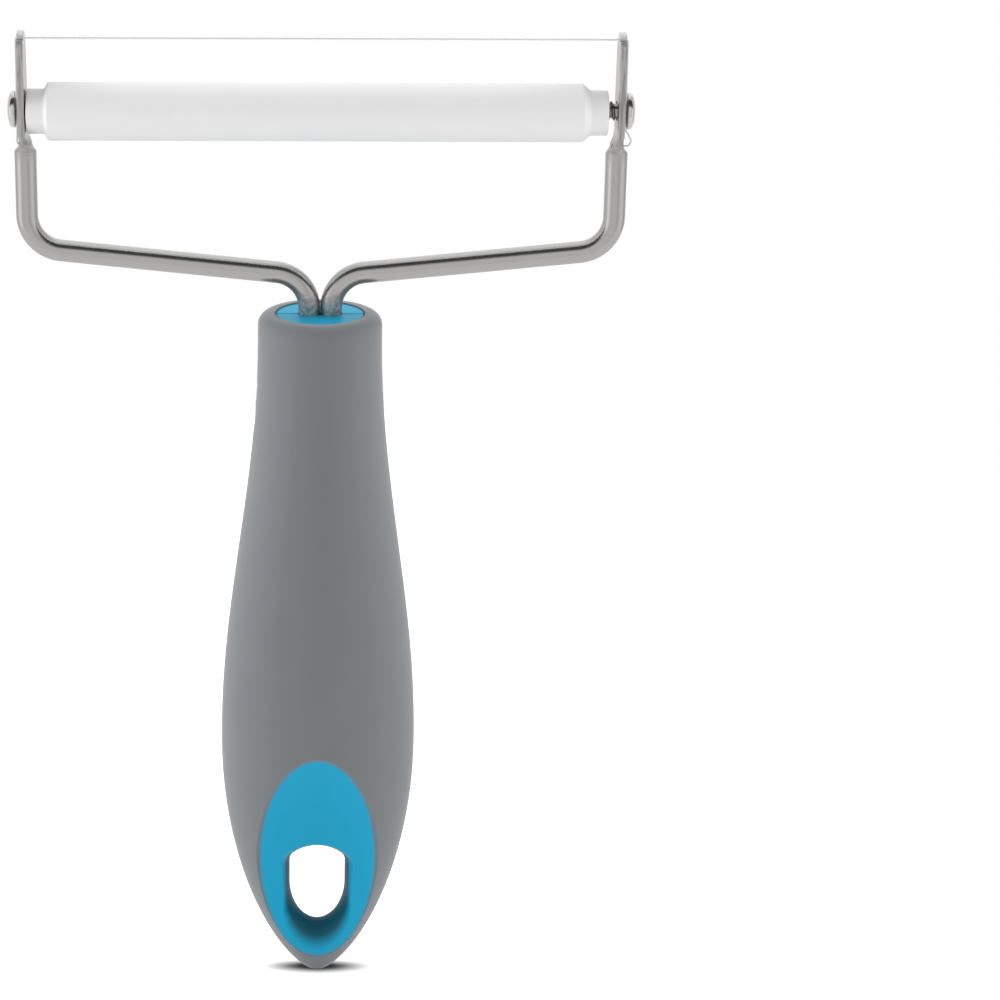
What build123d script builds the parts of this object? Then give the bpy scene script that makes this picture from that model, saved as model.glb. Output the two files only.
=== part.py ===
from build123d import *
import math
import os

os.makedirs("parts", exist_ok=True)

# A wire cheese slicer standing on the tip of its handle.
# +Z runs up the handle towards the wire, X runs along the roller, the front is at -Y.
# The origin is the lowest point of the tip.

# Handle outside, from the tip up to the rim of the neck
handle_length = 151.1
neck_diameter = 25.8
neck_straight = 5.0
belly_width = 41.8
belly_depth = 30.0
belly_height = 55.5
rim_radius = 2.5
tip_start_angle = 10.0
tip_bluntness_share = 1.32
belly_stations = 10
neck_stations = 10

# Skin moulded over the core
grip_wall = 3.5
core_recess = 0.25
core_edge_chamfer = 0.4
seam_groove_width = 0.5
seam_groove_depth = 0.35

# Scoop and hanging hole, alike on the front and the back
window_width = 24.9
window_height = 51.0
window_centre_height = 30.6
scoop_floor = 3.6
scoop_cross_radius = 24.3
scoop_long_radius = 71.5
scoop_centre_height = 18.0
throat_width = 12.1
throat_top_height = 30.5
throat_bottom_height = 11.8
mouth_width = 14.6
mouth_top_height = 31.9
mouth_bottom_height = 6.5
mouth_depth = 4.6
mouth_overreach_share = 1.5
mouth_curve_share = 2.2
mouth_crown_share = 0.45
mouth_foot_share = 1.55
mouth_corner_share = 0.5
mouth_stations = 4
half_turn_angle = 180.0

# Bent rods of the frame
rod_diameter = 4.5
leg_gap = 0.05
frame_width = 120.4
run_rise_above_rim = 7.7
run_rise_angle = 5.73
bend_radius = 7.5
hook_depth = 67.1
hook_reach = 13.0
hook_bend_radius = 5.5
rod_clearance = 0.05

# Arms pressed flat above the shoulder
shoulder_above_run = 26.2
shoulder_height = 1.4
shoulder_thickness = 2.3
shoulder_depth = 6.8
shoulder_edge_radius = 0.8
flare_height = 2.4
blade_thickness = 1.4
blade_offset = 0.4
blade_depth = 8.6
blade_tip_depth = 7.2
blade_taper_above_axis = 2.4
blade_tip_above_wire = 1.25
blade_edge_radius = 0.3

# Cutting wire
wire_diameter = 0.4
wire_above_axis = 14.75
wire_setback = 1.5
wire_clearance = 0.03
wire_slot_height = 0.7
anchor_hole_diameter = 1.0
wire_bend_radius = 0.45
wire_side_bend_radius = 1.0
wire_screw_reach = 1.45
anchor_above_shoulder = 1.6
anchor_setback = 1.0
anchor_lead_out = 0.5
anchor_bend_radius = 0.5
tail_bow = 1.45
tail_end_bow = 1.0
tail_bow_share = 0.19
tail_start_share = 0.53
tail_setback = 1.7

# Roller
roller_above_shoulder = 8.6
roller_drop = 0.45
roller_diameter = 11.8
collar_diameter = 9.1
collar_length = 3.5
left_shoulder_length = 0.7
right_shoulder_length = 1.5
collar_chamfer = 0.3
bore_tip_clearance = 3.6
bore_clearance = 0.55
roller_left_gap = 0.3
roller_right_gap = 1.9

# Pivot screws
screw_diameter = 4.0
screw_length = 13.0
screw_point_chamfer = 0.5
screw_clearance = 0.05
thread_pitch = 1.1
thread_depth = 0.5
head_diameter = 7.5
head_height = 1.9
head_rim_height = 0.75
head_edge_radius = 0.2
recess_span = 3.6
recess_slot_width = 0.9
recess_depth = 1.0

# Pegs that locate the two core halves
peg_diameter = 4.0
peg_length = 4.0
peg_clearance = 0.1
side_peg_spacing = 18.0
side_peg_depth = 45.0
low_peg_height = 50.0

# One overrun serves all cuts
overrun = 2.0

# Worked out from the values above
neck_start_height = handle_length - neck_straight
run_height = handle_length + run_rise_above_rim
hook_height = handle_length - hook_depth
shoulder_start_height = run_height + shoulder_above_run
roller_axis_height = shoulder_start_height + roller_above_shoulder
roller_rest_height = roller_axis_height - roller_drop
wire_height = roller_axis_height + wire_above_axis
blade_taper_height = roller_axis_height + blade_taper_above_axis
blade_top_height = wire_height + blade_tip_above_wire
anchor_height = shoulder_start_height + anchor_above_shoulder
side_peg_height = handle_length - side_peg_depth
arm_centre = frame_width / 2
blade_mid = arm_centre + blade_offset
blade_inner = blade_mid - blade_thickness / 2
blade_outer = blade_mid + blade_thickness / 2
leg_centre = (rod_diameter + leg_gap) / 2
wire_plane = blade_outer + wire_clearance + wire_diameter / 2
head_seat = blade_outer + wire_diameter + wire_clearance * 2
core_top = handle_length - core_recess
roller_left = -blade_inner + roller_left_gap
roller_length = blade_inner * 2 - roller_left_gap - roller_right_gap
bore_depth = screw_length - (head_seat - blade_inner) - roller_left_gap + bore_tip_clearance
shoulder_top_height = shoulder_start_height + shoulder_height
blade_start_height = shoulder_top_height + flare_height
shoulder_mid = blade_outer - shoulder_thickness / 2


def handle_stations(inset, top):
    """Heights with the half width and half depth of the handle, drawn in by inset."""
    stations = []
    start = math.radians(tip_start_angle)
    for index in range(belly_stations):
        turn = start + (math.pi / 2 - start) * index / belly_stations
        rise = (math.cos(start) - math.cos(turn)) / math.cos(start)
        swell = math.sin(turn) ** tip_bluntness_share
        height = inset + (belly_height - inset) * rise
        half_width = (belly_width / 2 - inset) * swell
        half_depth = (belly_depth / 2 - inset) * swell
        stations.append((height, half_width, half_depth))
    neck_radius = neck_diameter / 2 - inset
    for index in range(neck_stations + 1):
        climb = index / neck_stations
        swell = (1 + math.cos(math.pi * climb)) / 2
        height = belly_height + (neck_start_height - belly_height) * climb
        half_width = neck_radius + (belly_width - neck_diameter) / 2 * swell
        half_depth = neck_radius + (belly_depth - neck_diameter) / 2 * swell
        stations.append((height, half_width, half_depth))
    stations.append(((neck_start_height + top) / 2, neck_radius, neck_radius))
    stations.append((top, neck_radius, neck_radius))
    return stations


def handle_form(inset, top):
    """Pear-shaped solid through oval sections."""
    with BuildPart() as form:
        for height, half_width, half_depth in handle_stations(inset, top):
            with BuildSketch(Plane.XY.offset(height)):
                Ellipse(half_width, half_depth)
        loft()
    return form.part


def scoop_spindle(side):
    """Spindle that hollows the scoop; side is -1 for the front and 1 for the back."""
    offset = scoop_long_radius - scoop_cross_radius
    point_height = math.sqrt(scoop_long_radius**2 - offset**2)
    axis_plane = Plane(
        origin=(0, side * (scoop_floor + scoop_cross_radius), scoop_centre_height),
        x_dir=(1, 0, 0),
        z_dir=(0, -1, 0),
    )
    with BuildPart() as spindle:
        with BuildSketch(axis_plane):
            with BuildLine():
                ThreePointArc(
                    (0, point_height),
                    (scoop_cross_radius, 0),
                    (0, -point_height),
                )
                Line((0, -point_height), (0, point_height))
            make_face()
        revolve(axis=Axis(axis_plane.origin, (0, 0, 1)))
    return spindle.part


def between(first, second, share):
    """Value that lies the given share of the way from first to second."""
    return first + (second - first) * share


def hole_form():
    """Hourglass through the handle: narrow at the middle, flared to both mouths."""
    with BuildPart() as form:
        for index in range(-mouth_stations, mouth_stations + 1):
            reach = mouth_overreach_share * index / mouth_stations
            flare = abs(reach) ** mouth_curve_share
            half_width = between(throat_width, mouth_width, flare) / 2
            top = between(throat_top_height, mouth_top_height, flare)
            bottom = between(throat_bottom_height, mouth_bottom_height, flare)
            side_top = top - half_width * mouth_crown_share
            foot = half_width * mouth_foot_share
            side_bottom = bottom + foot
            level = Plane(
                origin=(0, mouth_depth * reach, 0),
                x_dir=(1, 0, 0),
                z_dir=(0, -1, 0),
            )
            with BuildSketch(level) as outline:
                with BuildLine():
                    Line((half_width, side_bottom), (half_width, side_top))
                    ThreePointArc(
                        (half_width, side_top),
                        (0, top),
                        (-half_width, side_top),
                    )
                    Line((-half_width, side_top), (-half_width, side_bottom))
                    EllipticalCenterArc(
                        (0, side_bottom),
                        x_radius=half_width,
                        y_radius=foot,
                        start_angle=half_turn_angle,
                        arc_size=half_turn_angle,
                    )
                make_face()
                fillet(
                    outline.vertices().group_by(Axis.Y)[-1],
                    radius=half_width * mouth_corner_share,
                )
        loft()
    return form.part


def rod_points(side):
    """Corners of one rod's centre line, from the hidden hook up to the shoulder."""
    rise = math.tan(math.radians(run_rise_angle))
    return [
        (side * hook_reach, 0, hook_height),
        (side * leg_centre, 0, hook_height),
        (side * leg_centre, 0, run_height + leg_centre * rise),
        (side * arm_centre, 0, run_height + arm_centre * rise),
        (side * arm_centre, 0, shoulder_start_height),
    ]


def rod_tube(side, radius):
    """Round bar along the rod's centre line."""
    with BuildPart() as tube:
        with BuildLine() as path:
            FilletPolyline(
                *rod_points(side),
                radius=[hook_bend_radius, bend_radius, bend_radius],
            )
        with BuildSketch(Plane(origin=path.line @ 0, z_dir=path.line % 0)):
            Circle(radius)
        sweep(path=path.line)
    return tube.part


def make_frame_rod(side, name):
    """Bent rod with its upper arm pressed flat, slotted for the wire and drilled."""
    arm_origin = (side * arm_centre, 0, shoulder_start_height)
    blade_plane = Plane(origin=(side * blade_mid, 0, 0), x_dir=(0, 1, 0), z_dir=(1, 0, 0))
    tip_radius = blade_tip_depth / 2
    slot_length = tip_radius - wire_setback + overrun
    with BuildPart() as blade:
        with BuildSketch(blade_plane):
            with BuildLine():
                Polyline(
                    (-tip_radius, blade_top_height - tip_radius),
                    (-blade_depth / 2, blade_taper_height),
                    (-blade_depth / 2, blade_start_height),
                    (blade_depth / 2, blade_start_height),
                    (blade_depth / 2, blade_taper_height),
                    (tip_radius, blade_top_height - tip_radius),
                )
                ThreePointArc(
                    (tip_radius, blade_top_height - tip_radius),
                    (0, blade_top_height),
                    (-tip_radius, blade_top_height - tip_radius),
                )
            make_face()
        extrude(amount=blade_thickness / 2, both=True)
        outline_edges = blade.faces().filter_by(Axis.X).edges()
        low_edges = blade.faces().sort_by(Axis.Z)[0].edges()
        fillet([edge for edge in outline_edges if edge not in low_edges], radius=blade_edge_radius)
    with BuildPart() as rod:
        add(rod_tube(side, rod_diameter / 2))
        with BuildSketch(Plane(origin=arm_origin)):
            Circle(rod_diameter / 2)
        with BuildSketch(Plane(origin=(side * shoulder_mid, 0, shoulder_top_height))):
            RectangleRounded(shoulder_thickness, shoulder_depth, shoulder_edge_radius)
        with BuildSketch(Plane(origin=(side * blade_mid, 0, blade_start_height))):
            RectangleRounded(blade_thickness, blade_depth, blade_edge_radius)
        loft(ruled=True)
        add(blade.part)
        with BuildSketch(blade_plane):
            with Locations((-wire_setback, wire_height)):
                Circle(wire_slot_height / 2)
            with Locations((-wire_setback - slot_length / 2, wire_height)):
                Rectangle(slot_length, wire_slot_height)
        extrude(amount=blade_thickness, both=True, mode=Mode.SUBTRACT)
        with Locations(
            Plane(origin=(side * blade_mid, 0, roller_axis_height), z_dir=(1, 0, 0)),
        ):
            Cylinder(
                screw_diameter / 2 + screw_clearance,
                blade_thickness + overrun,
                mode=Mode.SUBTRACT,
            )
        with Locations(
            Plane(origin=(side * blade_mid, -anchor_setback, anchor_height), z_dir=(1, 0, 0)),
        ):
            Cylinder(anchor_hole_diameter / 2, rod_diameter + overrun, mode=Mode.SUBTRACT)
    rod.part.label = name
    export_step(rod.part, f"parts/{name}.step")
    return rod.part


def wire_side_points(side):
    """Corners of the wire from the tip slot down one outer face to its anchor hole."""
    beside_screw = screw_diameter / 2 + wire_clearance + wire_diameter / 2
    tail_start = between(anchor_height, roller_axis_height, tail_start_share)
    tail_middle = between(anchor_height, roller_axis_height, tail_bow_share)
    points = [
        (side * wire_plane, -wire_setback, wire_height),
        (side * wire_plane, -beside_screw, roller_axis_height + wire_screw_reach),
        (side * wire_plane, -beside_screw, roller_axis_height - wire_screw_reach),
    ]
    radii = [wire_bend_radius, wire_side_bend_radius, wire_side_bend_radius]
    if side > 0:
        points.append((wire_plane, -tail_setback, tail_start))
        points.append((wire_plane + tail_bow, -tail_setback, tail_middle))
        points.append((wire_plane + tail_end_bow, -anchor_setback, anchor_height))
        radii += [wire_side_bend_radius, wire_side_bend_radius, wire_bend_radius]
    else:
        points.append((side * (blade_outer + anchor_lead_out), -anchor_setback, anchor_height))
        radii.append(anchor_bend_radius)
    points.append((side * blade_inner, -anchor_setback, anchor_height))
    return points, radii


# Shared handle bodies
envelope = handle_form(0, handle_length)
core_blank = handle_form(grip_wall, core_top)

with BuildPart() as window_prism:
    with BuildSketch(Plane(origin=(0, 0, window_centre_height), x_dir=(1, 0, 0), z_dir=(0, -1, 0))):
        Ellipse(window_width / 2, window_height / 2)
    extrude(amount=belly_depth, both=True)

with BuildPart() as outer_form:
    add(envelope)
    fillet(outer_form.edges().sort_by(Axis.Z)[-1], radius=rim_radius)
    for scoop_side in (-1, 1):
        add(scoop_spindle(scoop_side), mode=Mode.SUBTRACT)

# Core: drawn-in handle form plus the pads that show in the two scoops
with BuildPart() as core_body:
    add(core_blank)
    chamfer(core_body.edges().sort_by(Axis.Z)[-1], length=core_edge_chamfer)
    add(window_prism.part)
    add(outer_form.part, mode=Mode.INTERSECT)
    add(hole_form(), mode=Mode.SUBTRACT)
    for rod_side in (-1, 1):
        add(rod_tube(rod_side, rod_diameter / 2 + rod_clearance), mode=Mode.SUBTRACT)
    with BuildSketch(Plane.YZ):
        with BuildLine():
            Polyline(
                (-seam_groove_width / 2, core_top),
                (0, core_top - seam_groove_depth),
                (seam_groove_width / 2, core_top),
                (-seam_groove_width / 2, core_top),
            )
        make_face()
    extrude(amount=neck_diameter, both=True, mode=Mode.SUBTRACT)

peg_places = [
    (-side_peg_spacing / 2, side_peg_height),
    (side_peg_spacing / 2, side_peg_height),
    (0, low_peg_height),
]

with BuildPart() as core_front:
    add(core_body.part)
    split(bisect_by=Plane.XZ, keep=Keep.TOP)
    with BuildSketch(Plane.XZ):
        with Locations(*peg_places):
            Circle(peg_diameter / 2)
    extrude(amount=-peg_length)
core_front.part.label = "core_front"
export_step(core_front.part, "parts/core_front.step")

with BuildPart() as core_rear:
    add(core_body.part)
    split(bisect_by=Plane.XZ, keep=Keep.BOTTOM)
    with BuildSketch(Plane.XZ):
        with Locations(*peg_places):
            Circle(peg_diameter / 2 + peg_clearance)
    extrude(amount=-(peg_length + peg_clearance), mode=Mode.SUBTRACT)
core_rear.part.label = "core_rear"
export_step(core_rear.part, "parts/core_rear.step")

# Grip: what is left of the outer form round the core
with BuildPart() as grip_sleeve:
    add(outer_form.part)
    add(core_blank, mode=Mode.SUBTRACT)
    add(window_prism.part, mode=Mode.SUBTRACT)
    with BuildSketch(Plane.XY.offset(core_top)):
        Circle(neck_diameter / 2 - grip_wall)
    extrude(amount=overrun, mode=Mode.SUBTRACT)
grip_sleeve.part.label = "grip_sleeve"
export_step(grip_sleeve.part, "parts/grip_sleeve.step")

make_frame_rod(-1, "frame_rod_left")
make_frame_rod(1, "frame_rod_right")

# Cutting wire in one length, from anchor hole to anchor hole
left_points, left_radii = wire_side_points(-1)
right_points, right_radii = wire_side_points(1)
with BuildPart() as cutting_wire:
    with BuildLine() as wire_path:
        FilletPolyline(
            *(list(reversed(left_points)) + right_points),
            radius=list(reversed(left_radii)) + right_radii,
        )
    with BuildSketch(Plane(origin=wire_path.line @ 0, z_dir=wire_path.line % 0)):
        Circle(wire_diameter / 2)
    sweep(path=wire_path.line)
cutting_wire.part.label = "cutting_wire"
export_step(cutting_wire.part, "parts/cutting_wire.step")
print("wire length", round(wire_path.wire().length, 1))

# Roller, turned from one bar: it hangs on the screws by the play of its bores, and is
# pushed towards the left arm by its end play
roller_profile = [
    (0, 0),
    (0, collar_diameter / 2 - collar_chamfer),
    (collar_chamfer, collar_diameter / 2),
    (collar_length, collar_diameter / 2),
    (collar_length + left_shoulder_length, roller_diameter / 2),
    (roller_length - collar_length - right_shoulder_length, roller_diameter / 2),
    (roller_length - collar_length, collar_diameter / 2),
    (roller_length - collar_chamfer, collar_diameter / 2),
    (roller_length, collar_diameter / 2 - collar_chamfer),
    (roller_length, 0),
    (0, 0),
]
roller_plane = Plane(
    origin=(roller_left, 0, roller_rest_height),
    x_dir=(1, 0, 0),
    z_dir=(0, -1, 0),
)
with BuildPart() as roller:
    with BuildSketch(roller_plane):
        with BuildLine():
            Polyline(*roller_profile)
        make_face()
    revolve(axis=Axis(roller_plane.origin, (1, 0, 0)))
    for end in (roller.faces().sort_by(Axis.X)[0], roller.faces().sort_by(Axis.X)[-1]):
        with Locations(Plane(end)):
            Hole(screw_diameter / 2 + bore_clearance, depth=bore_depth)
roller.part.label = "roller"
export_step(roller.part, "parts/roller.step")


def make_pivot_screw(side, name):
    """Domed cross-recess screw; its threaded end is the roller's pivot."""
    core_radius = screw_diameter / 2 - thread_depth
    turns = int((screw_length - screw_point_chamfer) / thread_pitch)
    shank = [(0, core_radius)]
    for turn in range(turns):
        shank.append((-thread_pitch * (turn + 1 / 2), screw_diameter / 2))
        shank.append((-thread_pitch * (turn + 1), core_radius))
    shank.append((-screw_length, core_radius - screw_point_chamfer))
    shank.append((-screw_length, 0))
    screw_plane = Plane(
        origin=(side * head_seat, 0, roller_axis_height),
        x_dir=(side, 0, 0),
        z_dir=(0, -side, 0),
    )
    with BuildPart() as screw:
        with BuildSketch(screw_plane):
            with BuildLine():
                Polyline(
                    (head_rim_height, head_diameter / 2),
                    (0, head_diameter / 2),
                    *shank,
                    (head_height, 0),
                )
                TangentArc(
                    (head_height, 0),
                    (head_rim_height, head_diameter / 2),
                    tangent=(0, 1),
                )
            make_face()
        revolve(axis=Axis(screw_plane.origin, (1, 0, 0)))
        head_edges = [
            edge
            for edge in screw.edges().filter_by(GeomType.CIRCLE)
            if edge.radius > head_diameter / 2 - head_edge_radius
        ]
        fillet(head_edges, radius=head_edge_radius)
        recess_plane = Plane(
            origin=(side * (head_seat + head_height), 0, roller_axis_height),
            x_dir=(0, 1, 0),
            z_dir=(side, 0, 0),
        )
        with BuildSketch(recess_plane):
            Rectangle(recess_span, recess_slot_width)
            Rectangle(recess_slot_width, recess_span)
        extrude(amount=-recess_depth, mode=Mode.SUBTRACT)
    screw.part.label = name
    export_step(screw.part, f"parts/{name}.step")
    return screw.part


make_pivot_screw(-1, "pivot_screw_left")
make_pivot_screw(1, "pivot_screw_right")
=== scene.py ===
# %% [markdown]
# # A wire cheese slicer, dressed for its picture
#
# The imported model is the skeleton: two bent steel rods, a wire stretched between their
# tips, a roller on two screws and a two-colour handle. Every solid is already in place, in
# metres, standing on the tip of its handle with +Z up and -Y towards the camera. This
# script gives each piece its finish, remakes the few pieces whose detail is too fine for
# the solids, and sets up a small white studio with the camera where the photographer
# stood.
#
# The model comes in first, so that every later step can measure it.

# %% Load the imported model
import math

import bpy
from mathutils import Matrix, Vector


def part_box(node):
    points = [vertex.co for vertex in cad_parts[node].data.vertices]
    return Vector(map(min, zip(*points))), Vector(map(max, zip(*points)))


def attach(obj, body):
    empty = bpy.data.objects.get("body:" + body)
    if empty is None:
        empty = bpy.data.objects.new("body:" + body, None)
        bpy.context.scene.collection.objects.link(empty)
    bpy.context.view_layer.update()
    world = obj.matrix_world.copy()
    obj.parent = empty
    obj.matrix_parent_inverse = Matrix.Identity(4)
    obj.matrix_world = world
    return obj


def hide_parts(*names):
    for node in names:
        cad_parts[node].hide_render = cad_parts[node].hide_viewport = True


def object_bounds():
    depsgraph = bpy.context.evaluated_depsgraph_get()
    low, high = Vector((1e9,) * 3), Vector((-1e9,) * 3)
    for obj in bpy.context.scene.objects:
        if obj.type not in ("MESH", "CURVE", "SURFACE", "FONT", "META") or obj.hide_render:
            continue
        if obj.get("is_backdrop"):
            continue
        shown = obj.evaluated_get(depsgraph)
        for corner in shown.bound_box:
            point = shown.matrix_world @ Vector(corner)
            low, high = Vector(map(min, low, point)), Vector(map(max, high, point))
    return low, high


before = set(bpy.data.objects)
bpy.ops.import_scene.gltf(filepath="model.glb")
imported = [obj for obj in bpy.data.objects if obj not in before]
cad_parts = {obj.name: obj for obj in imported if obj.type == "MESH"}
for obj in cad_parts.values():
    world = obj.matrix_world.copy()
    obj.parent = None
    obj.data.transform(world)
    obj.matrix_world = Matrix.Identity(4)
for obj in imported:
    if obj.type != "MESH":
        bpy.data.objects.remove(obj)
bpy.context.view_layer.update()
MM = 0.001
print("nodes:", sorted(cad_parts))

# %% [markdown]
# ## The camera
#
# The photograph looks down on the slicer at about nineteen degrees: the neck's round top
# shows as a narrow ellipse and the lower side of the roller is hidden. The tool fills the
# left part of the picture although it was taken straight on, so the lens is shifted
# sideways instead of turned. A long lens keeps the two arms parallel.

# %% Camera
LENS = 108.0
SENSOR = 36.0
LOOK_DOWN = math.radians(18.882)
TILT = math.radians(0.189)
CAMERA_PLACE = (-4.0 * MM, -601.1 * MM, 315.6 * MM)
SHIFT_RIGHT = 0.1998

bpy.ops.object.camera_add(location=CAMERA_PLACE)
camera = bpy.context.object
camera.name = "studio_camera"
camera.data.lens = LENS
camera.data.sensor_width = SENSOR
camera.data.shift_x = SHIFT_RIGHT
aim = Matrix.Rotation(math.pi / 2 - LOOK_DOWN, 3, "X") @ Matrix.Rotation(TILT, 3, "Z")
camera.rotation_euler = aim.to_euler()
bpy.context.scene.camera = camera
print("camera looks down", round(math.degrees(LOOK_DOWN), 2), "degrees")

# %% [markdown]
# ## Writing shaders as sums
#
# A finish is a recipe: a bit of noise, a soft edge here, a worn patch there. Wiring such
# a recipe by hand takes dozens of lines, so one small class wraps a socket and lets it be
# added, subtracted and multiplied like a number. Each sum adds one Math node. Colours
# and all other nodes go through a single method, `add`, which takes the node's type, its
# settings, and what goes into its sockets. `axes` splits a place into its coordinates.


# %% A socket that can be reckoned with
MIX_COLOUR_OUTPUT = 2
MIX_FIRST_COLOUR = 6
MIX_SECOND_COLOUR = 7


class Flow:
    """One output of a node tree. Sums on it add Math nodes to the tree."""

    def __init__(self, tree, socket=None):
        self.tree = tree
        self.socket = socket

    def add(self, kind, settings=None, sockets=None, output=0):
        """Adds a node of any kind and gives back one of its outputs."""
        node = self.tree.nodes.new(kind)
        for name, setting in (settings or {}).items():
            setattr(node, name, setting)
        for name, given in (sockets or {}).items():
            if isinstance(given, Flow):
                self.tree.links.new(given.socket, node.inputs[name])
            else:
                node.inputs[name].default_value = given
        return Flow(self.tree, node.outputs[output])

    def sum(self, operation, first, second=0.0):
        return self.add("ShaderNodeMath", {"operation": operation}, {0: first, 1: second})

    def __add__(self, other):
        return self.sum("ADD", self, other)

    __radd__ = __add__

    def __sub__(self, other):
        return self.sum("SUBTRACT", self, other)

    def __rsub__(self, other):
        return self.sum("SUBTRACT", other, self)

    def __mul__(self, other):
        return self.sum("MULTIPLY", self, other)

    __rmul__ = __mul__

    def __truediv__(self, other):
        return self.sum("DIVIDE", self, other)

    def __pow__(self, other):
        return self.sum("POWER", self, other)

    def abs(self):
        return self.sum("ABSOLUTE", self)

    def higher_of(self, other):
        return self.sum("MAXIMUM", self, other)

    def rise(self, start, end):
        """0 before start, 1 after end, and a smooth slope between them."""
        return self.add(
            "ShaderNodeMapRange",
            {"interpolation_type": "SMOOTHSTEP"},
            {"Value": self, "From Min": start, "From Max": end},
        )

    def tint(self, first, second):
        """Mixes two colours: the first where this is 0, the second where it is 1."""
        return self.add(
            "ShaderNodeMix",
            {"data_type": "RGBA"},
            {0: self, MIX_FIRST_COLOUR: first, MIX_SECOND_COLOUR: second},
            MIX_COLOUR_OUTPUT,
        )


def axes(spot):
    """The X, Y and Z of a place or a direction."""
    split = spot.add("ShaderNodeSeparateXYZ", {}, {0: spot})
    return [Flow(spot.tree, out) for out in split.socket.node.outputs]


def grey(level):
    """A neutral colour."""
    return (level, level, level, 1.0)


print("sums on sockets are ready")

# %% [markdown]
# ## The finish of a piece
#
# Every finish starts the same way: an empty material with one Principled shader, and the
# piece's own coordinates in metres, from which all patterns are reckoned. `new_finish`
# makes the first, `place` the second, and `wear_finish` puts a finish on a CAD node or a
# new piece. Constants such as metal or gloss are set straight on the shader's sockets;
# only what changes over the surface is linked.


# %% Materials: the common start
OBJECT_COORDINATES = 3


def new_finish(name, **constants):
    """A new material, its Principled shader, and a start for sums."""
    finish = bpy.data.materials.new(name)
    finish.use_nodes = True
    tree = finish.node_tree
    tree.nodes.clear()
    out = tree.nodes.new("ShaderNodeOutputMaterial")
    shader = tree.nodes.new("ShaderNodeBsdfPrincipled")
    tree.links.new(shader.outputs[0], out.inputs["Surface"])
    for socket, constant in constants.items():
        shader.inputs[socket.replace("_", " ")].default_value = constant
    return finish, shader, Flow(tree)


def feed(start, shader, **flows):
    """Links what changes over the surface to the shader's sockets."""
    for socket, flow in flows.items():
        start.tree.links.new(flow.socket, shader.inputs[socket.replace("_", " ")])


def place(start):
    """The point's place on the piece, in metres."""
    return start.add("ShaderNodeTexCoord", output=OBJECT_COORDINATES)


def noise(spot, size, detail=2.0, roughness=0.5):
    """Soft cloudy noise whose blotches are about `size` metres, around 0.5."""
    return spot.add(
        "ShaderNodeTexNoise",
        {},
        {"Vector": spot, "Scale": 1.0 / size, "Detail": detail, "Roughness": roughness},
    )


def bump(height, depth):
    """Relief: `height` runs from 0 to 1 and stands for `depth` metres."""
    return height.add(
        "ShaderNodeBump", {}, {"Height": height, "Distance": depth, "Strength": 1.0}
    )


def wear_finish(piece, finish):
    """Gives a piece its one finish."""
    piece.data.materials.clear()
    piece.data.materials.append(finish)
    print(piece.name, "wears", finish.name)


# %% [markdown]
# ## Soft-touch grey skin
#
# The skin is a rubbery thermoplastic moulded over the hard core. It is matt, a neutral
# mid grey, and almost free of marks; close up it has a very fine pebbled grain that the
# mould's blasted steel leaves. Its sides catch the white of the studio as a soft light
# rim, as rubbery skins do. The belly, where the hand closes, is a shade smoother.

# %% Material: soft-touch grey
GREY = (0.174, 0.187, 0.200, 1.0)
GREY_WORN = (0.187, 0.200, 0.213, 1.0)
GREY_FEATHER = (0.100, 0.235, 0.330, 1.0)
PEBBLE = 0.32 * MM
PEBBLE_HEIGHT = 0.012 * MM
BLOTCH = 14.0 * MM
PALM_Z = 62.0 * MM
PALM_REACH = 42.0 * MM
PALM_CORE = 8.0 * MM
WINDOW_CENTRE_Z = 30.6 * MM
WINDOW_HALF_X = 12.45 * MM
WINDOW_HALF_Z = 25.5 * MM
ABOVE_WINDOW = 60.0 * MM
BELOW_BELLY = 57.0 * MM
FEATHER = 0.9 * MM


def window_edge(x, z):
    """How far a point lies outside the scoop's window, in metres; negative inside."""
    across = x / WINDOW_HALF_X
    along = (z - WINDOW_CENTRE_Z) / WINDOW_HALF_Z
    ring = (across * across + along * along) ** 0.5
    slope = ((across / WINDOW_HALF_X) ** 2 + (along / WINDOW_HALF_Z) ** 2) ** 0.5
    return (ring - 1.0) * ring / slope.higher_of(1.0)


def near_window(z):
    """1 on the lower handle, where the window is, and 0 above it."""
    return z.rise(ABOVE_WINDOW, BELOW_BELLY)


soft_grey, shader, start = new_finish(
    "soft_touch_grey", Specular_IOR_Level=0.45, Sheen_Weight=0.30, Sheen_Roughness=0.45
)
spot = place(start)
x, _, z = axes(spot)
pebbles = noise(spot, PEBBLE, 1.0)
blotches = noise(spot, BLOTCH, 3.0)
palm = (z - PALM_Z).abs().rise(PALM_REACH, PALM_CORE)
rubbed = (palm * blotches).rise(0.3, 0.75)
skin_grey = (0.35 * blotches + 0.35 * rubbed + 0.3 * pebbles).tint(GREY, GREY_WORN)
feathered = window_edge(x, z).rise(FEATHER, 0.0) * near_window(z)
feed(
    start,
    shader,
    Base_Color=(0.8 * feathered).tint(skin_grey, GREY_FEATHER),
    Roughness=0.62 + 0.08 * pebbles - 0.07 * rubbed,
    Normal=bump(pebbles, PEBBLE_HEIGHT),
)
wear_finish(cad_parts["grip_sleeve"], soft_grey)
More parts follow.
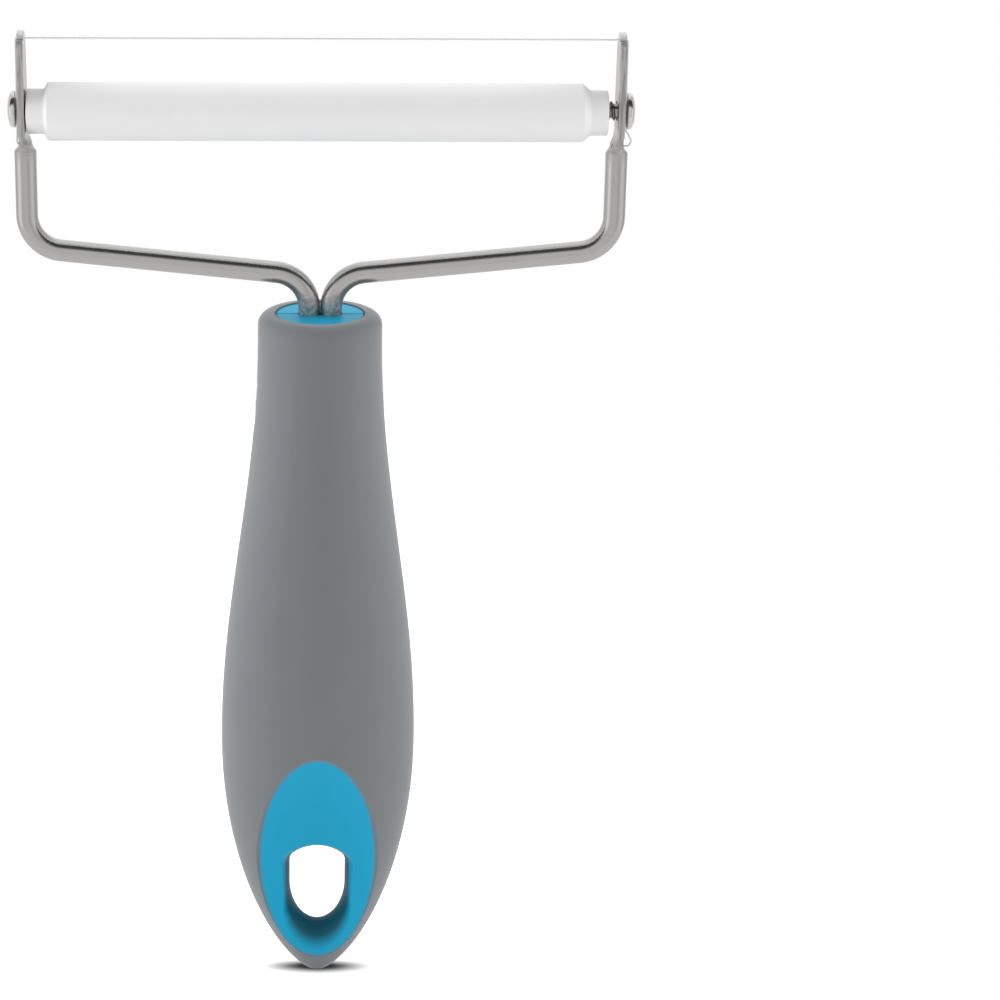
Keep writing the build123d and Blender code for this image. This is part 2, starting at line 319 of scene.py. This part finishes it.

# %% [markdown]
# ## Blue plastic core
#
# The core is a satin polypropylene in a clear cyan blue. It shows on top of the neck,
# round the rods, and in the scoop round the hanging hole. Moulded plastic is evenly
# coloured; what makes it look real is a faint flow pattern and a soft sheen. Where the
# skin was moulded against it, a trace of grey is smeared along the window's edge. The
# wall of the hanging hole has painted shade: its colour is made darker deep in the hole,
# where little light reaches.

# %% Material: blue plastic
BLUE = (0.001, 0.400, 0.650, 1.0)
BLUE_DEEP = (0.001, 0.368, 0.612, 1.0)
BLUE_PAINTED_SHADE = (0.001, 0.090, 0.140, 1.0)
FLOW_LINE = 6.0 * MM
GRAIN = 0.25 * MM
GRAIN_HEIGHT = 0.004 * MM
EYE_RIM_Y = 4.9 * MM
EYE_DEEP_Y = 3.1 * MM
EYE_TOP_Z = 36.0 * MM
EYE_SIDE_Z = 33.0 * MM
SMEAR = 0.7 * MM

blue_plastic, shader, start = new_finish("satin_blue", Specular_IOR_Level=0.30)
spot = place(start)
x, y, z = axes(spot)
flow_lines = noise(spot, FLOW_LINE, 3.0)
grain = noise(spot, GRAIN, 1.0)
# Painted shade: the colour darkens deep inside the hanging hole.
eye_painted_shade = y.abs().rise(EYE_RIM_Y, EYE_DEEP_Y) * z.rise(EYE_TOP_Z, EYE_SIDE_Z)
moulded = (0.7 * flow_lines + 0.3 * grain).tint(BLUE_DEEP, BLUE)
smeared = window_edge(x, z).rise(-SMEAR, 0.0) * near_window(z)
moulded = (0.45 * smeared).tint(moulded, GREY_FEATHER)
feed(
    start,
    shader,
    Base_Color=eye_painted_shade.tint(moulded, BLUE_PAINTED_SHADE),
    Roughness=0.36 + 0.10 * flow_lines + 0.05 * grain,
    Normal=bump(grain, GRAIN_HEIGHT),
)
for half in ("core_front", "core_rear"):
    wear_finish(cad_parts[half], blue_plastic)

# %% [markdown]
# ## Polished steel rods
#
# The rods are drawn stainless wire, bent cold and tumbled bright. Polished steel has no
# colour of its own: it shows the studio, slightly blurred. Tumbling leaves a very fine
# even scratch pattern, so the roughness wanders a little and the relief is only a few
# thousandths of a millimetre. The flat arms were pressed and ground afterwards: dull
# streaks run up them, their shoulders are dull from the press, and their rounded tips are
# ground pale. Just above the handle, where the rods leave it, the metal is darker, browner
# and rougher in patches.

# %% Material: polished steel
STEEL = (0.640, 0.632, 0.622, 1.0)
STEEL_DULL = (0.560, 0.553, 0.545, 1.0)
STEEL_STREAK = (0.330, 0.325, 0.320, 1.0)
STEEL_ROOT_DARK = (0.360, 0.325, 0.300, 1.0)
STEEL_TIP = (0.860, 0.855, 0.850, 1.0)
SCRATCH = 0.18 * MM
SCRATCH_HEIGHT = 0.0016 * MM
CLOUD = 3.5 * MM
STREAK = 0.5 * MM
STREAK_DRAWN_OUT = 20.0
ROOT_PATCH = 0.9 * MM
NECK_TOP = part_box("grip_sleeve")[1][2]
ROOT_START = NECK_TOP + 1.5 * MM
ROOT_END = NECK_TOP + 6.0 * MM
PRESS_START = NECK_TOP + 34.5 * MM
PRESS_RAMP = 2.0 * MM
SHOULDER_REACH = 3.5 * MM
SHOULDER_CORE = 0.5 * MM
TIP_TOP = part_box("frame_rod_left")[1][2]
GROUND_START = TIP_TOP - 3.0 * MM
GROUND_FULL = TIP_TOP - 1.2 * MM

bright_steel, shader, start = new_finish("bright_steel", Metallic=1.0)
spot = place(start)
z = axes(spot)[2]
scratches = noise(spot, SCRATCH, 2.0, 0.7)
clouds = noise(spot, CLOUD, 3.0)
upright = start.add(
    "ShaderNodeMapping", {}, {"Vector": spot, "Scale": (1.0, 1.0, 1.0 / STREAK_DRAWN_OUT)}
)
pressed = z.rise(PRESS_START, PRESS_START + PRESS_RAMP)
streaks = pressed * noise(upright, STREAK, 2.0, 0.6).rise(0.60, 0.36)
shoulder = (z - PRESS_START).abs().rise(SHOULDER_REACH, SHOULDER_CORE)
ground_tip = z.rise(GROUND_START, GROUND_FULL)
# Just above the neck the colour turns darker and browner in patches.
root = z.rise(ROOT_END, ROOT_START)
root_patches = root * noise(spot, ROOT_PATCH, 3.0, 0.6).rise(0.35, 0.60)
steel_colour = (0.5 * clouds + 0.5 * scratches).tint(STEEL_DULL, STEEL)
steel_colour = (0.75 * streaks * (1.0 - ground_tip)).tint(steel_colour, STEEL_STREAK)
steel_colour = ground_tip.tint(steel_colour, STEEL_TIP)
steel_colour = (0.85 * root_patches).tint(steel_colour, STEEL_ROOT_DARK)
dullness = 0.08 * pressed + 0.22 * shoulder + 0.14 * ground_tip + 0.22 * root
feed(
    start,
    shader,
    Base_Color=steel_colour,
    Roughness=0.13 + 0.10 * clouds + 0.08 * scratches + dullness,
    Normal=bump(scratches, SCRATCH_HEIGHT),
)
for side in ("left", "right"):
    wear_finish(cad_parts["frame_rod_" + side], bright_steel)

# %% [markdown]
# ## The cutting wire
#
# The wire is bright drawn steel, so thin that only its lightness shows. Drawing leaves
# fine lines along it, which scatter the light: it is rougher than the rods, and paler.

# %% Material: bright wire
DRAWN_LINE = 0.2 * MM
DRAWN_LINE_HEIGHT = 0.001 * MM

bright_wire, shader, start = new_finish("bright_wire", Metallic=0.60)
drawing = noise(place(start), DRAWN_LINE, 1.0)
feed(
    start,
    shader,
    Base_Color=drawing.tint(grey(0.94), grey(0.99)),
    Roughness=0.48 + 0.08 * drawing,
    Normal=bump(drawing, DRAWN_LINE_HEIGHT),
)
wear_finish(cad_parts["cutting_wire"], bright_wire)

# %% [markdown]
# ## Turning a piece ring by ring
#
# Screws and the roller are turned pieces. One could spin a drawn profile, but a piece
# grown from a disc stays closed at every step: a filled circle is extruded along its
# axis again and again, and each new ring is scaled to its radius. `turn_piece` does this
# for a list of heights and radii. Zero steps in height make flat shoulders, and steps
# back down make bores. A turned piece stands on the Z axis until `lay_along_x` lays it
# down where it belongs.


# %% Helper: turn a piece
SMOOTH_BELOW = math.radians(32.0)


def activate(piece):
    """Makes the piece the only selected and the active one."""
    bpy.ops.object.select_all(action="DESELECT")
    piece.select_set(True)
    bpy.context.view_layer.objects.active = piece


def edit_all(piece):
    """Puts the piece in edit mode, with everything in it selected."""
    activate(piece)
    bpy.ops.object.mode_set(mode="EDIT")
    bpy.ops.mesh.select_all(action="SELECT")


def edit_where(piece, wanted):
    """Puts the piece in edit mode, with only the corners selected that are wanted."""
    edit_all(piece)
    bpy.ops.mesh.select_all(action="DESELECT")
    bpy.ops.object.mode_set(mode="OBJECT")
    for corner in piece.data.vertices:
        corner.select = wanted(corner.co)
    bpy.ops.object.mode_set(mode="EDIT")


def turn_piece(name, rings, sides):
    """A closed solid on the Z axis, grown through (height, radius) pairs."""
    height, radius = rings[0]
    bpy.ops.object.select_all(action="DESELECT")
    bpy.ops.mesh.primitive_circle_add(vertices=sides, radius=radius, fill_type="NGON")
    piece = bpy.context.object
    piece.name = name
    edit_all(piece)
    bpy.ops.transform.translate(value=(0.0, 0.0, height))
    for next_height, next_radius in rings[1:]:
        step = (0.0, 0.0, next_height - height)
        bpy.ops.mesh.extrude_region_move(TRANSFORM_OT_translate={"value": step})
        grow = next_radius / radius
        bpy.ops.transform.resize(value=(grow, grow, 1.0), center_override=(0.0, 0.0, 0.0))
        height, radius = next_height, next_radius
    bpy.ops.mesh.select_all(action="SELECT")
    bpy.ops.mesh.normals_make_consistent(inside=False)
    bpy.ops.object.mode_set(mode="OBJECT")
    return piece


def apply_modifier(piece, kind, **settings):
    """Adds a modifier, sets it up and applies it."""
    activate(piece)
    modifier = piece.modifiers.new(kind.lower(), kind)
    for name, setting in settings.items():
        setattr(modifier, name, setting)
    bpy.ops.object.modifier_apply(modifier=modifier.name)


def break_edges(piece, width, segments, sharper_than):
    """Bevels every edge that is sharper than the given angle in degrees."""
    apply_modifier(
        piece,
        "BEVEL",
        width=width,
        segments=segments,
        limit_method="ANGLE",
        angle_limit=math.radians(sharper_than),
    )


def lay_along_x(piece, facing, x, z):
    """Turns a piece from the Z axis to the X axis, puts it in place and applies that."""
    activate(piece)
    piece.rotation_euler = (0.0, facing * math.pi / 2.0, 0.0)
    piece.location = (x, 0.0, z)
    bpy.ops.object.transform_apply(location=True, rotation=True, scale=True)
    bpy.ops.object.shade_smooth_by_angle(angle=SMOOTH_BELOW)


print("ready to turn pieces")

# %% [markdown]
# ## The roller
#
# The roller is one bar of white acetal: a long body, a short cone down to a thin collar
# at each end, and a blind bore in each collar for its screw. The photograph shows the
# cone at the right end twice as long as the one at the left. The bar is turned ring by
# ring, then a fine bevel softens every edge, as a real turned edge is broken. Fine
# turning marks run round it; the colour is milky and a little uneven.

# %% Material: white acetal
TURNING_MARK = 0.35 * MM
TURNING_MARK_HEIGHT = 0.002 * MM
MILKINESS = 9.0 * MM

white_acetal, shader, start = new_finish("white_acetal", Specular_IOR_Level=0.25)
spot = place(start)
along = axes(spot)[0]
turning = noise(along.add("ShaderNodeCombineXYZ", {}, {0: along}), TURNING_MARK, 2.0)
milk = noise(spot, MILKINESS, 2.0)
feed(
    start,
    shader,
    Base_Color=(0.6 * milk + 0.4 * turning).tint(grey(0.81), grey(0.86)),
    Roughness=0.36 + 0.10 * turning,
    Normal=bump(turning, TURNING_MARK_HEIGHT),
)

# %% Model: roller
ROLLER_SIDES = 96
COLLAR_LENGTH = 3.5 * MM
COLLAR_RADIUS = 4.55 * MM
LEFT_CONE = 0.7 * MM
RIGHT_CONE = 1.5 * MM
BORE_RADIUS = 2.55 * MM
BORE_DEPTH = 14.0 * MM
EDGE_BREAK = 0.22 * MM
roller_low, roller_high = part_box("roller")
roller_length = roller_high[0] - roller_low[0]
roller_radius = (roller_high[2] - roller_low[2]) / 2.0
roller_axis = (roller_high[2] + roller_low[2]) / 2.0
roller = turn_piece(
    "roller_body",
    [
        (BORE_DEPTH, BORE_RADIUS),
        (0.0, BORE_RADIUS),
        (0.0, COLLAR_RADIUS),
        (COLLAR_LENGTH, COLLAR_RADIUS),
        (COLLAR_LENGTH + LEFT_CONE, roller_radius),
        (roller_length - COLLAR_LENGTH - RIGHT_CONE, roller_radius),
        (roller_length - COLLAR_LENGTH, COLLAR_RADIUS),
        (roller_length, COLLAR_RADIUS),
        (roller_length, BORE_RADIUS),
        (roller_length - BORE_DEPTH, BORE_RADIUS),
    ],
    ROLLER_SIDES,
)
break_edges(roller, EDGE_BREAK, segments=4, sharper_than=20.0)
lay_along_x(roller, 1.0, roller_low[0], roller_axis)
wear_finish(roller, white_acetal)
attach(roller, "roller")
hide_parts("roller")
print("roller length in mm:", round(roller_length / MM, 2))
print("roller faces:", len(roller.data.polygons))

# %% [markdown]
# ## The pivot screws
#
# Each arm holds one coarse screw with a low dome and a cross recess. Its shank goes
# through the arm, and its thread is the axle on which the roller turns; at the right end
# two turns of it show. The solid is turned ring by ring: shank, seat, rim and dome. The
# recess is cut with two crossed wedges. The thread is a small tooth, carried round and
# along the shank by a Screw modifier, as the die does it. The plating is bright on the
# head; on the shank its colour is darkened with painted shade, and it is rougher.

# %% Material: nickel plate
SPECK = 0.4 * MM
SPECK_HEIGHT = 0.002 * MM
PLATE_FADE = 1.0 * MM
SHANK_PAINTED_SHADE = (0.30, 0.29, 0.28, 1.0)
HEAD_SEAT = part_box("frame_rod_right")[1][0]
plated, shader, start = new_finish("nickel_plate", Metallic=1.0)
spot = place(start)
specks = noise(spot, SPECK, 2.0)
# Painted shade: from the head inward the shank's colour is made dark; it is rougher too.
shank = axes(spot)[0].abs().rise(HEAD_SEAT, HEAD_SEAT - PLATE_FADE)
plate = specks.tint((0.80, 0.79, 0.77, 1.0), (0.90, 0.89, 0.87, 1.0))
feed(
    start,
    shader,
    Base_Color=(0.8 * shank).tint(plate, SHANK_PAINTED_SHADE),
    Roughness=0.09 + 0.08 * specks + 0.12 * shank,
    Normal=bump(specks, SPECK_HEIGHT),
)

# %% Model: pivot screws
SCREW_SIDES = 64
CREST_RADIUS = 2.0 * MM
TOOTH_HEIGHT = 0.5 * MM
TOOTH_OVERLAP = 0.1 * MM
TOOTH_BASE_SHARE = 0.78
TOOTH_CREST_SHARE = 0.16
THREAD_PITCH = 1.1 * MM
THREAD_STEPS = 40
PLAIN_LENGTH = 1.6 * MM
ROOT_RADIUS = CREST_RADIUS - TOOTH_HEIGHT
SHANK_LENGTH = 13.0 * MM
POINT_LENGTH = 0.7 * MM
POINT_SHARE = 0.5
SEAT_BREAK = 0.2 * MM
RIM_HEIGHT = 0.75 * MM
RECESS_SPAN = 3.6 * MM
RECESS_WIDTH = 0.9 * MM
RECESS_DEPTH = 1.05 * MM
RECESS_FLOOR_SHARE = 0.55
DOME_RINGS = 9
DOME_FULLNESS = 0.9
HEAD_EDGE_BREAK = 0.05 * MM


def screw_rings(head_radius, head_height):
    """Heights and radii from the point of the shank up over the dome."""
    rings = [
        (-SHANK_LENGTH, POINT_SHARE * ROOT_RADIUS),
        (-SHANK_LENGTH + POINT_LENGTH, ROOT_RADIUS),
        (0.0, ROOT_RADIUS),
        (0.0, head_radius - SEAT_BREAK),
        (SEAT_BREAK, head_radius),
        (RIM_HEIGHT - SEAT_BREAK, head_radius),
    ]
    for index in range(1, DOME_RINGS + 1):
        turn = math.pi / 2.0 * index / (DOME_RINGS + 1)
        height = RIM_HEIGHT + (head_height - RIM_HEIGHT) * math.sin(turn)
        rings.append((height, head_radius * math.cos(turn) ** DOME_FULLNESS))
    return rings


def cut_recess(screw, head_height):
    """Cuts the cross recess: two crossed wedges, narrower at their floor."""
    for turn in (0.0, math.pi / 2.0):
        bpy.ops.object.select_all(action="DESELECT")
        bpy.ops.mesh.primitive_cube_add(
            size=1.0,
            location=(0.0, 0.0, head_height),
            rotation=(0.0, 0.0, turn),
            scale=(RECESS_SPAN, RECESS_WIDTH, 2.0 * RECESS_DEPTH),
        )
        wedge = bpy.context.object
        edit_where(wedge, lambda corner: corner.z < 0.0)
        narrower = (RECESS_FLOOR_SHARE, RECESS_FLOOR_SHARE, 1.0)
        bpy.ops.transform.resize(value=narrower, center_override=(0.0, 0.0, 0.0))
        bpy.ops.object.mode_set(mode="OBJECT")
        apply_modifier(screw, "BOOLEAN", operation="DIFFERENCE", solver="EXACT", object=wedge)
        bpy.data.objects.remove(wedge)


def thread_on(screw):
    """Carries a small tooth round and along the shank and joins it to the screw."""
    turns = int((SHANK_LENGTH - POINT_LENGTH - PLAIN_LENGTH) / THREAD_PITCH)
    centre = (0.0, 0.0, -SHANK_LENGTH + POINT_LENGTH)
    bpy.ops.object.select_all(action="DESELECT")
    bpy.ops.mesh.primitive_plane_add(size=1.0, rotation=(math.pi / 2.0, 0.0, 0.0))
    tooth = bpy.context.object
    width = TOOTH_HEIGHT + TOOTH_OVERLAP
    tooth.location = (CREST_RADIUS - width / 2.0, 0.0, centre[2])
    tooth.scale = (width, TOOTH_BASE_SHARE * THREAD_PITCH, 1.0)
    bpy.ops.object.transform_apply(location=True, rotation=True, scale=True)
    edit_where(tooth, lambda corner: corner.x > ROOT_RADIUS)
    bpy.ops.transform.resize(value=(1.0, 1.0, TOOTH_CREST_SHARE), center_override=centre)
    bpy.ops.mesh.select_all(action="SELECT")
    bpy.ops.mesh.delete(type="ONLY_FACE")
    bpy.ops.object.mode_set(mode="OBJECT")
    apply_modifier(
        tooth,
        "SCREW",
        screw_offset=THREAD_PITCH,
        iterations=turns,
        steps=THREAD_STEPS,
        render_steps=THREAD_STEPS,
    )
    edit_all(tooth)
    bpy.ops.mesh.fill_holes(sides=4)
    bpy.ops.mesh.normals_make_consistent(inside=False)
    bpy.ops.object.mode_set(mode="OBJECT")
    activate(screw)
    tooth.select_set(True)
    bpy.ops.object.join()


for side, facing in (("left", -1.0), ("right", 1.0)):
    node = "pivot_screw_" + side
    low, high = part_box(node)
    head_radius = (high[2] - low[2]) / 2.0
    outer_end = high[0] if facing > 0 else -low[0]
    head_height = high[0] - low[0] - SHANK_LENGTH
    rings = screw_rings(head_radius, head_height)
    screw = turn_piece("dome_screw_" + side, rings, SCREW_SIDES)
    cut_recess(screw, head_height)
    break_edges(screw, HEAD_EDGE_BREAK, segments=2, sharper_than=40.0)
    thread_on(screw)
    lay_along_x(screw, facing, facing * (outer_end - head_height), (low[2] + high[2]) / 2.0)
    wear_finish(screw, plated)
    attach(screw, "slicer")
    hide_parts(node)
    print(screw.name, "faces:", len(screw.data.polygons))

# %% [markdown]
# ## The studio room
#
# What the camera sees past the slicer is plain white. The steel needs more than white
# to look like steel, so the room round the set has shape: a white sweep behind, a soft
# box glow on the left and a weaker one on the right, mid grey behind the camera, and a
# dark gap overhead towards the front. That gap is the dark line along the top of the
# rods, and it leaves the floor of the hanging hole in shade.
#
# The room is reckoned from the direction of a ray: its bearing round the set, which is 0
# towards the camera and positive to the right, and its height seen from the side, which
# is 90 straight up and 180 behind the slicer. Two rooms are reckoned: the one that
# polished steel mirrors, and a plainer one that lights the matt surfaces. Each row of
# `GLOWS` is a soft patch of the mirrored room: its bearing, its reach in degrees, and how
# much brighter or darker it is than the grey round it.

# %% World
ROOM_GREY = 0.66
SWEEP_WHITE = 0.92
SWEEP_EDGE = (128.0, 160.0)
GLOWS = (
    (-74.0, 34.0, 0.42),
    (72.0, 34.0, 0.16),
    (30.0, 22.0, -0.14),
    (-38.0, 14.0, -0.06),
    (122.0, 34.0, -0.20),
    (-128.0, 34.0, -0.08),
)
GAP_FRONT = (28.0, 48.0)
GAP_TOP = (98.0, 78.0)
GAP_IN_MIRROR = 0.93
GAP_IN_LIGHT = 0.6
LIGHT_ALL_ROUND = 0.84
LIGHT_AT_SIDES = 0.25
SIDES_EDGE = (0.35, 0.95)
LIGHT_ABOVE_BEHIND = 0.52
ABOVE_BEHIND_TOP = (92.0, 112.0)
ABOVE_BEHIND_FOOT = (178.0, 160.0)
DIP_BEHIND = 0.45
DIP_EDGE = (0.15, 0.75)
DIP_TOP = (0.55, 0.25)

world = bpy.data.worlds.new("studio_room")
bpy.context.scene.world = world
world.use_nodes = True
world.node_tree.nodes.clear()
room = Flow(world.node_tree)
east, north, up = axes(room.add("ShaderNodeTexCoord"))
bearing = room.sum("ARCTAN2", east, -1.0 * north) * math.degrees(1.0)
height = room.sum("ARCTAN2", up, -1.0 * north) * math.degrees(1.0)


def hill(value, middle, reach):
    """1 at the middle, falling smoothly to 0 at `reach` on both sides."""
    return (value - middle).abs().rise(reach, 0.0)


def ray_kinds(tree):
    """1 or 0 for a ray from the camera, and for one that was mirrored or refracted."""
    light_path = Flow(tree).add("ShaderNodeLightPath")
    rays = light_path.socket.node.outputs
    from_glass = Flow(tree, rays["Is Transmission Ray"])
    mirrored = Flow(tree, rays["Is Glossy Ray"]).higher_of(from_glass)
    return Flow(tree, rays["Is Camera Ray"]), mirrored


gap = height.rise(*GAP_FRONT) * height.rise(*GAP_TOP)
behind = bearing.abs().rise(*SWEEP_EDGE)
room_front = ROOM_GREY
for middle, reach, gain in GLOWS:
    room_front = room_front + gain * hill(bearing, middle, reach)
mirrored_room = room_front + behind * (SWEEP_WHITE - room_front)
mirrored_room = mirrored_room * (1.0 - GAP_IN_MIRROR * gap)
sides = east.abs().rise(*SIDES_EDGE)
above_behind = height.rise(*ABOVE_BEHIND_TOP) * height.rise(*ABOVE_BEHIND_FOOT)
low_behind = north.rise(*DIP_EDGE) * up.rise(*DIP_TOP)
lighting_room = (LIGHT_ALL_ROUND + LIGHT_AT_SIDES * sides) * (1.0 - GAP_IN_LIGHT * gap)
lighting_room = lighting_room + LIGHT_ABOVE_BEHIND * above_behind
lighting_room = lighting_room * (1.0 - DIP_BEHIND * low_behind)
camera_ray, mirror_ray = ray_kinds(world.node_tree)
level = mirror_ray * mirrored_room + (1.0 - mirror_ray) * lighting_room
level = camera_ray + (1.0 - camera_ray) * level
glow = room.add("ShaderNodeBackground", {}, {"Color": grey(1.0), "Strength": level})
world_out = world.node_tree.nodes.new("ShaderNodeOutputWorld")
world.node_tree.links.new(glow.socket, world_out.inputs["Surface"])
print("room ready, nodes:", len(world.node_tree.nodes))

# %% [markdown]
# ## The floor
#
# The slicer stands on the tip of its handle on a round white board. The board is matt
# and takes the slicer's soft contact shadow; for the camera it is lifted just enough to
# burn out to the same white as the room, so no edge shows. That lift would wash out the
# small dark shadow right under the tip, so a painted shadow is put there: for the camera
# the board's colour darkens towards the tip in a thin ellipse, reckoned from the distance
# to it, with the depth stretched.

# %% Floor
FLOOR_RADIUS = 0.42
FLOOR_SIDES = 96
BOARD_GREY = 0.80
BOARD_LIFT = 0.30
BOARD_IN_STEEL = 0.72
SHADOW_CORE = 3.0 * MM
SHADOW_REACH = 15.0 * MM
SHADOW_STRETCH = 3.9
SHADOW_FORWARD = 0.2 * MM
SHADOW_FLOOR = 0.04
bpy.ops.object.select_all(action="DESELECT")
bpy.ops.mesh.primitive_circle_add(
    vertices=FLOOR_SIDES, radius=FLOOR_RADIUS, fill_type="NGON"
)
floor = bpy.context.object
floor.name = "studio_floor"
paint = bpy.data.materials.new("white_board")
paint.use_nodes = True
tree = paint.node_tree
tree.nodes.clear()
start = Flow(tree)
matt = start.add("ShaderNodeBsdfDiffuse", {}, {"Color": grey(BOARD_GREY)})
x, y, _ = axes(place(start))
deep = SHADOW_STRETCH * (y + SHADOW_FORWARD)
from_tip = (x * x + deep * deep) ** 0.5
# Painted shadow: for the camera the board darkens in a thin ellipse round the tip.
contact = SHADOW_FLOOR + (1.0 - SHADOW_FLOOR) * from_tip.rise(SHADOW_CORE, SHADOW_REACH)
white = contact.tint(grey(0.0), grey(1.0))
bright_matt = start.add("ShaderNodeBsdfDiffuse", {}, {"Color": white})
lift_colour = contact.tint(grey(0.0), grey(BOARD_LIFT))
lift = start.add("ShaderNodeEmission", {}, {"Color": lift_colour, "Strength": 1.0})
burnt = start.add("ShaderNodeAddShader", {}, {0: bright_matt, 1: lift})
mirrored = start.add("ShaderNodeEmission", {}, {"Color": grey(BOARD_IN_STEEL), "Strength": 1.0})
camera_ray, mirror_ray = ray_kinds(tree)
mixed = start.add("ShaderNodeMixShader", {}, {0: camera_ray, 1: matt, 2: burnt})
mixed = start.add("ShaderNodeMixShader", {}, {0: mirror_ray, 1: mixed, 2: mirrored})
out = tree.nodes.new("ShaderNodeOutputMaterial")
tree.links.new(mixed.socket, out.inputs["Surface"])
floor.data.materials.append(paint)
floor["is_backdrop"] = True
print("floor board radius", FLOOR_RADIUS)

# %% [markdown]
# ## The lamps and the view
#
# Two big soft boxes stand at the sides, a little above the slicer and turned down to its
# handle. They brighten both edges of the grip and leave its middle calm, as in the
# photograph; the left one is stronger.
# Mirrored in steel their faces would burn out, so they light matt surfaces only, and the
# steel shows the gentler box glows of the room instead.


# %% Lamps
BOX_WIDTH = 0.9
BOX_OUT = 0.95
BOX_HEIGHT = 0.44
LEFT_RADIANCE = 2.7
RIGHT_RADIANCE = 2.0
HANDLE_MIDDLE = Vector((0.0, 0.0, 0.1))


def soft_box(name, out, radiance):
    """A square area lamp beside the set whose face glows at `radiance`."""
    spot = Vector((out, 0.0, BOX_HEIGHT))
    bpy.ops.object.light_add(type="AREA", location=spot)
    box = bpy.context.object
    box.name = name
    box.data.shape = "SQUARE"
    box.data.size = BOX_WIDTH
    box.data.energy = radiance * math.pi * BOX_WIDTH * BOX_WIDTH
    box.visible_glossy = False
    box.rotation_euler = (HANDLE_MIDDLE - spot).to_track_quat("-Z", "Y").to_euler()
    print(name, "glows at", radiance)


soft_box("box_left", -BOX_OUT, LEFT_RADIANCE)
soft_box("box_right", BOX_OUT, RIGHT_RADIANCE)

# %% View
bpy.context.scene.view_settings.view_transform = "Standard"
print("view transform: Standard")

# %% [markdown]
# ## Measuring the result
#
# The box of the finished model is printed, in millimetres.

# %% Sizes
low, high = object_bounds()
print("finished box in mm:", [round(c / MM, 2) for c in (*low, *high)])
